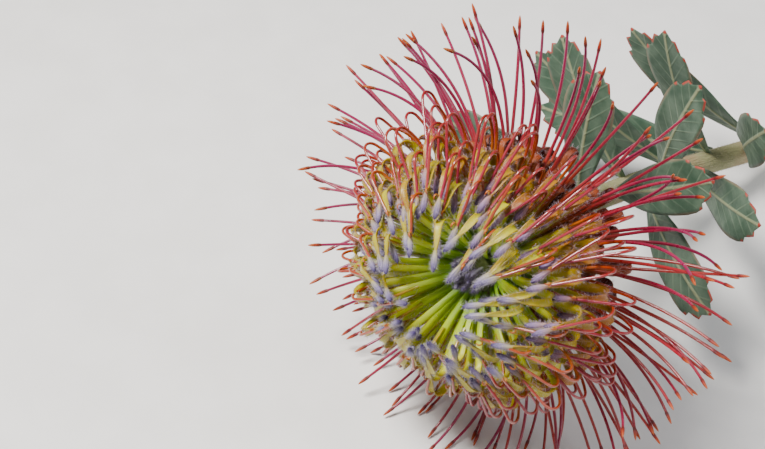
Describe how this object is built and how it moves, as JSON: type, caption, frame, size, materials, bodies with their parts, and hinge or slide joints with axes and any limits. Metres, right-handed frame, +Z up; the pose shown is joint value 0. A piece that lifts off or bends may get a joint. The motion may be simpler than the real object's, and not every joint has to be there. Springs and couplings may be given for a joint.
{
  "type": "pincushion protea flower",
  "caption": "Cut pincushion protea flower: a round head of looped yellow and orange florets with long red styles round it, on a leafy stem, lying down.",
  "frame": {"origin": "centre of the bounding box, on the surface that the flower lies on", "axes": "+Y from the head towards the cut end of the stem, +Z up, +X to the right of the head as it faces the viewer"},
  "size_m": [0.128, 0.1906, 0.1143],
  "materials": {
    "closed_floret": "satin",
    "open_floret": "satin",
    "bract": "matte",
    "stem": "matte",
    "leaf": "matte"
  },
  "bodies": {
    "root": {"closed_florets": "closed_floret", "open_florets": "open_floret", "bract_cup": "bract", "stem": "stem", "leaf_01": "leaf", "leaf_02": "leaf", "leaf_03": "leaf", "leaf_04": "leaf", "leaf_05": "leaf", "leaf_06": "leaf", "leaf_07": "leaf", "leaf_08": "leaf", "leaf_09": "leaf", "leaf_10": "leaf", "leaf_11": "leaf", "leaf_12": "leaf"}
  },
  "joints": []
}
